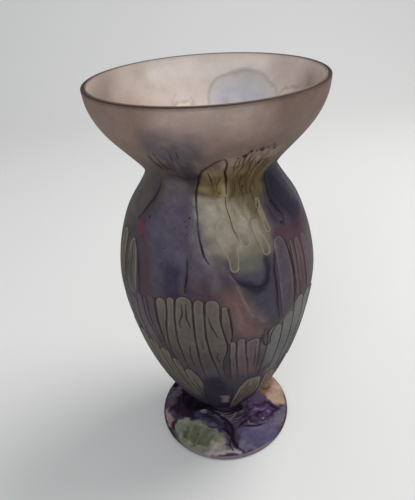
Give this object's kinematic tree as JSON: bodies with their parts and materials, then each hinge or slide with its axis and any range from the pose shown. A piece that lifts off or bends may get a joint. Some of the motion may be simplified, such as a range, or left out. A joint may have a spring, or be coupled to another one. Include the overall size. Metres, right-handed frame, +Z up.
{
  "type": "footed art glass vase",
  "caption": "Hand-blown footed vase: flared bowl over a pear-shaped body on a disc foot, overlaid with patches and fingers of coloured satin glass; holds flowers or stands as decoration.",
  "frame": {"origin": "centre of the foot's standing plane, on the axis of revolution", "axes": "+Z up through the rim; -Y is the front face of the pattern, +X is to its right"},
  "size_m": [0.13, 0.13, 0.255],
  "materials": {
    "outer_glass": "satin etched, translucent",
    "casing_glass": "satin etched, translucent",
    "wafer_glass": "satin",
    "foot_glass": "satin etched, translucent",
    "olive_glass": "satin etched",
    "cream_glass": "satin etched",
    "purple_glass": "satin etched",
    "indigo_glass": "satin etched",
    "lavender_glass": "satin etched",
    "rose_glass": "satin etched",
    "tan_glass": "satin etched",
    "green_glass": "satin etched",
    "amber_glass": "satin etched",
    "dark_thread": "satin"
  },
  "bodies": {
    "root": {"vessel": "outer_glass", "inner_casing": "casing_glass", "waist_wafer": "wafer_glass", "foot": "foot_glass", "bowl_blue_wash": "lavender_glass", "bowl_back_roundel": "lavender_glass", "bowl_rose_roundel": "rose_glass", "neck_olive_patch": "olive_glass", "neck_cream_band": "cream_glass", "neck_cream_drips": "cream_glass", "back_olive_patch": "olive_glass", "purple_patch": "purple_glass", "mauve_patch": "rose_glass", "red_spot": "rose_glass", "left_shoulder_patch": "olive_glass", "right_indigo_patch": "indigo_glass", "right_blotch": "indigo_glass", "back_indigo_patch": "indigo_glass", "back_cream_drips": "cream_glass", "indigo_crescent": "indigo_glass", "lavender_patch": "lavender_glass", "peach_streak": "amber_glass", "rose_patch": "rose_glass", "left_olive_leaf": "olive_glass", "right_long_fingers": "purple_glass", "tan_fan": "tan_glass", "left_mauve_fingers": "purple_glass", "left_olive_fan": "olive_glass", "pink_fingers": "rose_glass", "right_green_fan": "green_glass", "base_petals": "indigo_glass", "base_leaf": "tan_glass", "back_long_fingers": "purple_glass", "back_tan_fan": "tan_glass", "back_green_fan": "green_glass", "dark_trails": "dark_thread", "foot_green_patch": "green_glass", "foot_blue_patch": "lavender_glass", "foot_lavender_patch": "lavender_glass", "foot_purple_frit": "purple_glass", "foot_amber_patch": "amber_glass", "foot_tan_patch": "tan_glass", "foot_indigo_patch": "indigo_glass", "foot_pink_patch": "rose_glass", "foot_veins": "dark_thread", "waist_ridges": "lavender_glass"}
  },
  "joints": []
}
